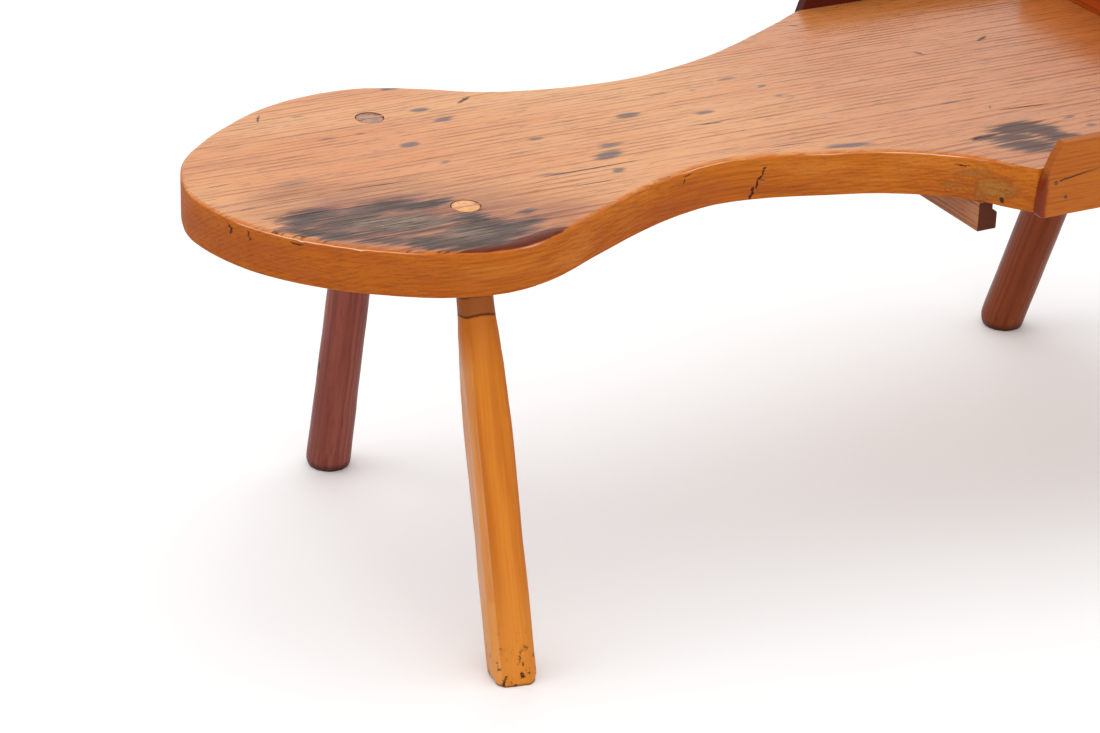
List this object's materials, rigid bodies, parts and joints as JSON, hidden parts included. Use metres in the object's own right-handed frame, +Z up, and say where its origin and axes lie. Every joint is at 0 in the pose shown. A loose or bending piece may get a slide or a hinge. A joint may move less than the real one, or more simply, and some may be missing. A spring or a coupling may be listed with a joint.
{
  "type": "cobblers bench",
  "caption": "Low wooden shoemaker's bench: one thick plank with rounded seat, narrow waist and railed tray with bins, on splayed wedged legs, with a shallow hung drawer.",
  "frame": {"origin": "middle of the bounding box's footprint, on the floor", "axes": "+X from the rounded seat to the tray's end, +Y to the side where the drawer pulls out, +Z up"},
  "size_m": [1.1704, 0.4854, 0.45],
  "materials": {
    "plank": "worn varnished honey-brown softwood",
    "leg_yellow": "varnished yellow birch, shaved faces",
    "leg_purple": "satin purple-brown stain",
    "leg_red": "varnished red-brown hardwood",
    "leg_brown": "varnished brown hardwood",
    "wedge": "pale end grain",
    "rail_gold": "varnished golden-brown board",
    "rail_dark": "varnished dark red-brown board",
    "divider": "varnished orange-brown board",
    "runner": "dry dark walnut",
    "drawer_front": "varnished brown board",
    "drawer_inside": "bare thin pine",
    "knob": "waxed turned hardwood"
  },
  "bodies": {
    "bench": {"seat_plank": "plank", "front_left_leg": "leg_yellow", "back_left_leg": "leg_purple", "back_right_leg": "leg_red", "front_right_leg": "leg_brown", "front_left_wedge": "wedge", "back_left_wedge": "wedge", "back_right_wedge": "wedge", "front_right_wedge": "wedge", "front_rail": "rail_gold", "back_rail": "rail_dark", "end_rail": "rail_gold", "tray_divider": "divider", "bin_partition_1": "divider", "bin_partition_2": "divider", "left_runner": "runner", "right_runner": "runner", "drawer_stop": "runner"},
    "drawer": {"drawer_front": "drawer_front", "drawer_left_side": "drawer_inside", "drawer_right_side": "drawer_inside", "drawer_back": "drawer_inside", "drawer_bottom": "drawer_inside", "drawer_left_lip": "runner", "drawer_right_lip": "runner", "drawer_knob": "knob"}
  },
  "joints": [
    {"name": "drawer_slide", "type": "slide", "parent": "bench", "child": "drawer", "axis": [0, 1, 0], "range_m": [0, 0.15]}
  ]
}
